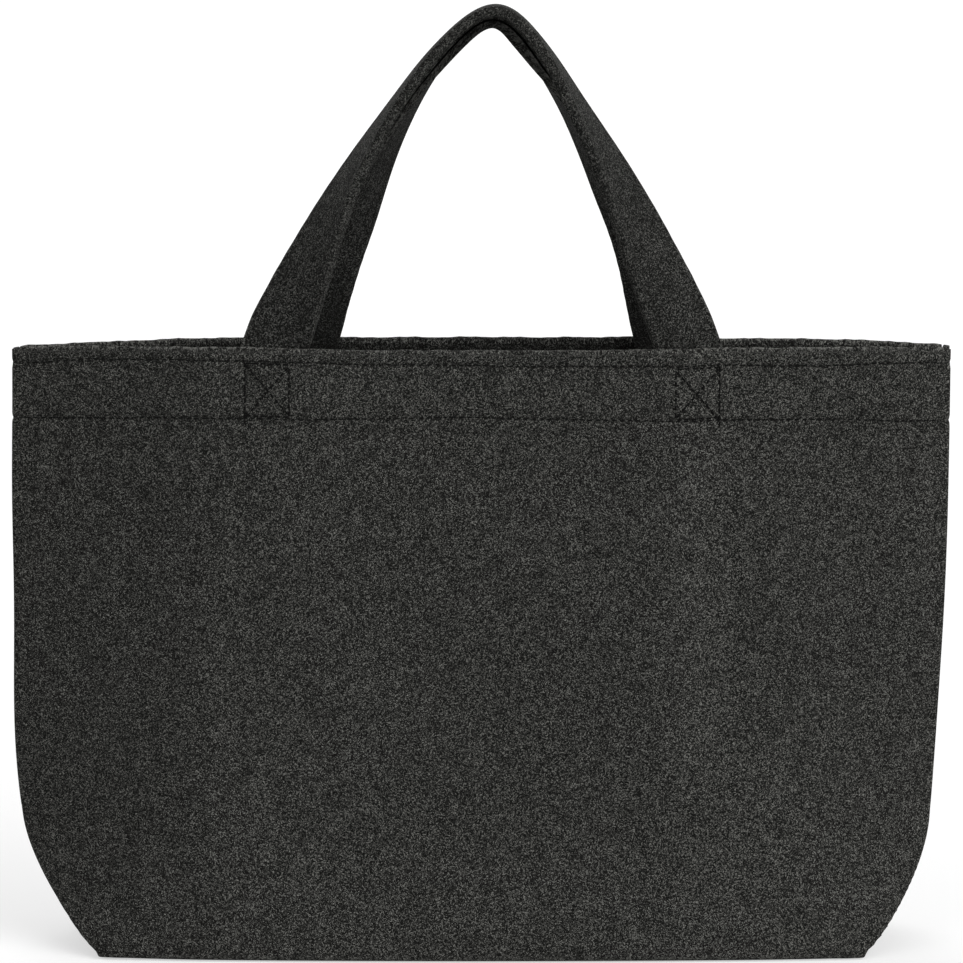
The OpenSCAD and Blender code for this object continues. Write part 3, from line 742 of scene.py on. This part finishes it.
def side_seam_thread(name, right, material):
    """Stitches down both faces of a side seam's allowance."""
    z = spaced(ALLOW_LOW + 4, HEM_LOW - 3, pitch=3.6)
    s = right * (HALF_W + 0.5 * SEAM_ALLOW) + 0 * z
    low, mid, high = (on_wall(s, z + e) for e in (-0.5, 0, 0.5))
    centres = settle(mid[0] - (FELT_T / 2) * mid[1], s)
    both = with_mirror(centres, high[0] - low[0], -mid[1])
    return stitch_threads(name, *both, material, length=2.7)


def base_seam_thread(name, material):
    """Stitches along both faces of the base seam's turned-up allowance."""
    x = spaced(-BASE_END + 18, BASE_END - 18, pitch=3.8)
    centres = np.stack([x, 0 * x + SEAM_BITE - FELT_T, 0 * x + 0.7 * SEAM_ALLOW], -1)
    centres = settle(centres, x)
    way, out = np.array([1.0, 0, 0]), np.array([0, -1.0, 0])
    both = with_mirror(centres, way + 0 * centres, out + 0 * centres)
    return stitch_threads(name, *both, material, length=2.8)


def corner_seam_thread(name, right, material):
    """Stitches along the turned-up end of each base half."""
    y = spaced(-44, -9, pitch=3.8)
    x = right * (BASE_END + UP_R - FELT_T / 2) + 0 * y
    centres = settle(np.stack([x, y, 0 * y + 0.7 * SEAM_ALLOW], -1), right * CORNER_S + 0 * y)
    way, out = np.array([0, 1.0, 0]), np.array([-right, 0, 0.0])
    both = with_mirror(centres, way + 0 * centres, out + 0 * centres)
    return stitch_threads(name, *both, material, length=2.8)


def handle_thread(name, strap, material):
    """Two rows of stitches along the strap, on both its faces."""
    places, ways, outs = [], [], []
    run = spaced(9, 2 * strap.length - 9, pitch=4.3)
    for row in (ROW_IN, ROW_OUT):
        for face in (1, -1):
            at = run + (2.1 if face < 0 else 0)
            depth = face * (STRAP_T / 2 - HANDLE_SINK)
            centres = strap.along(at, row, depth)
            places.append(centres)
            ways.append(strap.along(at + 0.6, row, depth) - strap.along(at - 0.6, row, depth))
            outs.append(strap.along(at, row, depth + face) - centres)
    lines = joined(False, places, ways, outs)
    return stitch_threads(name, *lines, material, length=3.2, rise=0.05, radius=0.3)


# Materials

WHITE = (1, 1, 1, 1)


def linear(*srgb):
    """A colour written as 0 to 255 per channel, for a shader."""
    c = np.array(srgb) / 255
    return (*np.where(c <= 0.04045, c / 12.92, ((c + 0.055) / 1.055) ** 2.4), 1.0)


class Nodes:
    """A tree of shader nodes, added one by one. An input is a number, a tuple or another
    node's output."""

    def __init__(self, tree):
        self.tree = tree

    def put(self, node, inputs):
        """Sets or links a node's inputs."""
        for key, value in inputs.items():
            socket = node.inputs[key]
            if isinstance(value, bpy.types.NodeSocket):
                self.tree.links.new(value, socket)
            else:
                socket.default_value = value
        return node

    def add(self, kind, inputs=None, **settings):
        """A new node with its settings and inputs."""
        node = self.tree.nodes.new("ShaderNode" + kind)
        for key, value in settings.items():
            setattr(node, key, value)
        return self.put(node, inputs or {})

    def math(self, operation, a, b=0.0):
        """The result of one operation on two values."""
        return self.add("Math", {0: a, 1: b}, operation=operation).outputs[0]

    def spread(self, value, low, high, to_low=0.0, to_high=1.0):
        """A value carried smoothly from one range to another."""
        return self.add(
            "MapRange",
            {"Value": value, "From Min": low, "From Max": high, "To Min": to_low, "To Max": to_high},
            interpolation_type="SMOOTHSTEP",
        ).outputs["Result"]

    def blend(self, share, a, b):
        """Colour a, going over to b as share rises."""
        return self.add("Mix", {0: share, 6: a, 7: b}, data_type="RGBA").outputs[2]

    def cells(self, place_at):
        """Flat cells: a random share for each, and the distance to its middle."""
        cell = self.add(
            "TexVoronoi", {"Vector": place_at, "Scale": 1.0}, voronoi_dimensions="2D", feature="F1")
        return self.add("SeparateColor", {0: cell.outputs["Color"]}).outputs[0], cell.outputs["Distance"]

    def noise(self, place_at, scale, detail, roughness):
        """Soft flat patches without order."""
        inputs = {"Vector": place_at, "Scale": scale, "Detail": detail, "Roughness": roughness}
        return self.add("TexNoise", inputs, noise_dimensions="2D").outputs[0]

    def carried(self, name):
        """A value that the mesh carries at its points."""
        return self.add("Attribute", attribute_name=name).outputs["Fac"]

    def seen(self):
        """1 for what the camera sees, also by reflection or through glass, and 0 for light."""
        path = self.add("LightPath").outputs
        bounced = self.math("MAXIMUM", path["Is Glossy Ray"], path["Is Transmission Ray"])
        return self.math("MAXIMUM", path["Is Camera Ray"], bounced)


class Finish(Nodes):
    """A new material's nodes, with its shader."""

    def __init__(self, name):
        self.material = bpy.data.materials.new(name)
        self.material.use_nodes = True
        super().__init__(self.material.node_tree)
        self.shader = self.tree.nodes["Principled BSDF"]


def fibre_layer(f, cloth, tuft, long, wide, off):
    """One layer of felt fibres: the cloth is parted into tufts of about one size, each laid
    at its own angle, and each tuft is made of cells as long and wide as a fibre's visible
    length. Gives each fibre's random share and the distance to its middle."""
    parted = {"Vector": cloth, "Location": (off, 0.37 * off, 0), "Scale": (1 / tuft, 1 / tuft, 1)}
    share, _ = f.cells(f.add("Mapping", parted).outputs[0])
    angle = f.math("MULTIPLY", share, 2 * math.pi)
    laid = f.add("VectorRotate", {"Vector": cloth, "Angle": angle}, rotation_type="Z_AXIS").outputs[0]
    stretched = {"Vector": laid, "Location": (off, off, 0), "Scale": (1 / long, 1 / wide, 1)}
    return f.cells(f.add("Mapping", stretched).outputs[0])


def felt(name, pale, dark, off, grain):
    """Heather felt: short fibres lying every way, from dark to pale, a few long pale ones on
    top, and slow mottling. The fibres also raise the surface. The felt is darker where shade is
    painted on it, paler where its edge is fraying and where a highlight is painted along the
    rim's fold, and lighter or darker where light and shade are painted along it."""
    f = Finish(name)
    cloth = f.add("UVMap", uv_map="cloth").outputs["UV"]
    short, _ = fibre_layer(
        f, cloth, tuft=0.0012 * grain, long=0.0006 * grain, wide=0.0003 * grain, off=off + 1.0)
    long, middle = fibre_layer(
        f, cloth, tuft=0.003 * grain, long=0.0016 * grain, wide=0.00045 * grain, off=off + 2.0)
    patches = f.noise(cloth, scale=120.0, detail=4.0, roughness=0.65)
    tufts = f.noise(cloth, scale=420.0, detail=2.0, roughness=0.6)
    # Most fibres are dark: the powers leave few pale ones
    body = f.math("POWER", short, 6.0)
    strand = f.math("MULTIPLY", f.math("POWER", long, 9.0), f.spread(middle, 0.5, 0.2))
    tone = f.math("ADD", f.math("MULTIPLY", body, 1.1), strand)
    tone = f.math("MULTIPLY", tone, f.spread(patches, 0.3, 0.7, 0.78, 1.22))
    # Painted shade: darker where the mesh carries painted shade.
    tone = f.math("MULTIPLY", tone, f.spread(f.carried("painted_shade"), 0.0, 1.0, 1.0, 0.36))
    # Paler fuzz at the felt's edges, with a painted highlight along the rim's fold.
    fuzz_and_painted_highlight = f.math("MULTIPLY", f.carried("fray_and_highlight"), f.spread(tufts, 0.46, 0.62, 0.0, 0.7))
    tone = f.math("ADD", tone, fuzz_and_painted_highlight)
    # Painted light and shade: lighter or darker by the value the mesh carries.
    tone = f.math("MULTIPLY", tone, f.math("ADD", f.carried("painted_light"), 1.0))
    height = f.math("ADD", f.math("MULTIPLY", body, 0.6), f.math("MULTIPLY", strand, 0.8))
    height = f.math("ADD", height, f.math("MULTIPLY", patches, 0.8))
    bump = f.add("Bump", {"Strength": 0.6, "Distance": 0.0005, "Height": height})
    f.put(f.shader, {
        "Base Color": f.blend(tone, dark, pale), "Normal": bump.outputs[0],
        "Roughness": 0.95, "Specular IOR Level": 0.03,
        "Sheen Weight": 0.015, "Sheen Roughness": 0.45, "Sheen Tint": linear(200, 200, 196),
    })
    return f.material


def sewing_thread(name, dark, pale):
    """Dark twisted thread: slanting plies along each stitch."""
    f = Finish(name)
    cloth = f.add("UVMap", uv_map="cloth").outputs["UV"]
    laid = f.add("Mapping", {"Vector": cloth, "Rotation": (0, 0, math.radians(38))}).outputs[0]
    twist = {"Vector": laid, "Scale": 420.0, "Distortion": 1.2, "Detail": 1.0}
    ply = f.add("TexWave", twist).outputs["Fac"]
    bump = f.add("Bump", {"Strength": 0.6, "Distance": 0.00012, "Height": ply})
    f.put(f.shader, {
        "Base Color": f.blend(ply, dark, pale), "Normal": bump.outputs[0],
        "Roughness": 0.9, "Specular IOR Level": 0.03,
    })
    return f.material


panel_felt = felt("heather_felt", linear(115, 115, 111), linear(19, 19, 18), 0.0, 1.0)
strap_felt = felt("heather_strap_felt", linear(94, 94, 91), linear(18, 18, 17), 5.0, 1.1)
thread = sewing_thread("charcoal_thread", linear(10, 10, 10), linear(24, 24, 23))
strap_thread = sewing_thread("grey_thread", linear(26, 26, 25), linear(46, 46, 44))

# The bag

# Middles of the sewn boxes, which sit a little outside the straps' own
BOXES = {
    "front": {"left": -FRONT_X - BOX_SHIFT + 1.0, "right": FRONT_X + BOX_SHIFT},
    "back": {"left": -BACK_X - BOX_SHIFT + 2.3, "right": BACK_X + BOX_SHIFT + 2.3},
}
for side, seed, back in (("front", 20, False), ("back", 40, True)):
    body = panel(side + "_panel_felt", seed, BOXES[side].values(), back, panel_felt)
    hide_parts(side + "_panel")
    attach(body, "bag")
    for row in ("top", "low"):
        line = hem_thread(f"{side}_hem_{row}_thread", row, back, thread)
        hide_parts(f"{side}_hem_{row}_stitching")
        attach(line, "bag")

for side, right in (("left", -1), ("right", 1)):
    line = side_seam_thread(side + "_side_seam_thread", right, thread)
    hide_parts(side + "_side_seam_stitching")
    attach(line, "bag")
    line = corner_seam_thread(side + "_corner_seam_thread", right, thread)
    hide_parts(side + "_corner_seam_stitching")
    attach(line, "bag")
line = base_seam_thread("base_seam_thread", thread)
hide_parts("base_seam_stitching")
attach(line, "bag")


def front_shift(h, left):
    """The front handle's top is drawn a little to the right; its legs stand in a little low
    down and out a little near the top."""
    out = 0.9 * hump(h, 142, 16) - 1.2 * hump(h, 48, 34)
    return 6.1 * np.clip(h / 163, 0, 1.1) ** 3.5 + np.where(left > 0, -out, out)


def back_shift(h, left):
    """The back handle is sewn on, and drawn, a little to the right; each leg bows to the right
    low down and back to the left near the top."""
    wave_left = 1.7 * hump(h, 62, 30) - 0.7 * hump(h, 125, 22)
    wave_right = 2.2 * hump(h, 40, 26) - 1.2 * hump(h, 138, 18)
    return 2.4 + 3.2 * np.clip(h / 157, 0, 1.1) ** 3 + np.where(left > 0, wave_left, wave_right)


def front_gape(down, left):
    """The front handle's two layers stay together."""
    return 0.0 * down


def back_gape(down, left):
    """How far the back handle's under layer hangs off the upper one at a distance down from
    the top: it is bent on the inside, so it has length to spare, most on the right. Further
    down the layers close again."""
    more = np.where(left > 0, 0.2, 0.6) * ease(down / 18)
    return (0.7 + more) * (1 - ease((down - 16) / 50))


for side, x, lean, twist, shift, gape, back, seed in (
    ("front", FRONT_X, 18.8, (2.7, 2.0), front_shift, front_gape, False, 3),
    ("back", BACK_X, 16.5, (2.1, 2.1), back_shift, back_gape, True, 4),
):
    strap = Strap(x, lean, twist, shift, gape, back)
    handle = strap_piece(side + "_handle_felt", strap, strap_felt, seed)
    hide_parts(side + "_handle_strap", f"{side}_left_strap_end", f"{side}_right_strap_end")
    line = handle_thread(side + "_handle_thread", strap, strap_thread)
    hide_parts(side + "_handle_stitching")
    for piece in (handle, line):
        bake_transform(piece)
    for hand, middle in BOXES[side].items():
        line = box_thread(f"{side}_{hand}_box_thread", middle, back, thread)
        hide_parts(f"{side}_{hand}_box_stitching")
        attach(line, "bag")

# Stage: floor, light and camera

FLOOR_HALF, FLOOR_Z = 14.0, -0.0004  # half the floor's side, and its height, in metres
FLOOR_GREY, FLOOR_GLOW = 0.52, 0.5   # its colour, and its own light for the camera alone
SKY_LIGHT, SKY_SEEN = 0.36, 1.0      # the sky's light on the bag, and as the camera sees it
AIM_Z, AWAY, PITCH = 0.2293, 2.2, math.radians(8.19)
PX_PER_M, FRAME_PX, SENSOR = 2030.7, 963, 36.0
LAMP_AIM = (0, 0, 0.2)

scene = bpy.context.scene
scene.view_settings.view_transform = "Standard"


def floor():
    """A wide pale floor, just under the base."""
    mesh = bpy.data.meshes.new("floor")
    ends = (-FLOOR_HALF, FLOOR_HALF)
    mesh.from_pydata([(x, y, FLOOR_Z) for y in ends for x in ends], [], [(0, 1, 3, 2)])
    f = Finish("pale_floor")
    f.put(f.shader, {
        "Base Color": (FLOOR_GREY, FLOOR_GREY, FLOOR_GREY, 1),
        "Roughness": 0.9, "Specular IOR Level": 0.0,
        "Emission Color": WHITE, "Emission Strength": f.math("MULTIPLY", f.seen(), FLOOR_GLOW),
    })
    mesh.materials.append(f.material)
    obj = bpy.data.objects.new("floor", mesh)
    scene.collection.objects.link(obj)


def sky():
    """An even white world, which lights the bag less than the camera sees of it."""
    scene.world = bpy.data.worlds.new("studio")
    scene.world.use_nodes = True
    nodes = Nodes(scene.world.node_tree)
    nodes.tree.nodes.clear()
    light = nodes.add("Background", {"Color": WHITE, "Strength": SKY_LIGHT}).outputs[0]
    backdrop = nodes.add("Background", {"Color": WHITE, "Strength": SKY_SEEN}).outputs[0]
    mix = nodes.add("MixShader", {0: nodes.seen(), 1: light, 2: backdrop})
    nodes.add("OutputWorld", {"Surface": mix.outputs[0]})


def sun(name, strength, place_at, angle):
    """A soft sun from a place, turned to face the bag; its angle is how wide it looks."""
    data = bpy.data.lights.new(name, "SUN")
    data.energy = strength
    data.angle = math.radians(angle)
    obj = bpy.data.objects.new(name, data)
    way = np.array(LAMP_AIM, float) - np.array(place_at, float)
    way /= np.linalg.norm(way)
    obj.location = place_at
    obj.rotation_euler = (math.acos(-way[2]), 0, math.atan2(way[0], -way[1]) + math.pi)
    scene.collection.objects.link(obj)


def camera():
    """The photograph's view: straight at the front, a little from above, with a long lens that
    gives the bag its size in the frame."""
    data = bpy.data.cameras.new("camera")
    data.sensor_width = SENSOR
    data.lens = PX_PER_M * AWAY * SENSOR / FRAME_PX
    data.clip_end = 60.0
    obj = bpy.data.objects.new("camera", data)
    obj.location = (0, -AWAY * math.cos(PITCH), AIM_Z + AWAY * math.sin(PITCH))
    obj.rotation_euler = (math.pi / 2 - PITCH, 0, 0)
    scene.collection.objects.link(obj)
    scene.camera = obj


floor()
sky()
sun("right_key", 2.9, (1.45, -0.95, 0.95), 70)
sun("left_key", 0.9, (-1.4, -1.0, 0.95), 70)
sun("back_fill", 1.9, (-0.5, 1.5, 0.75), 90)
camera()
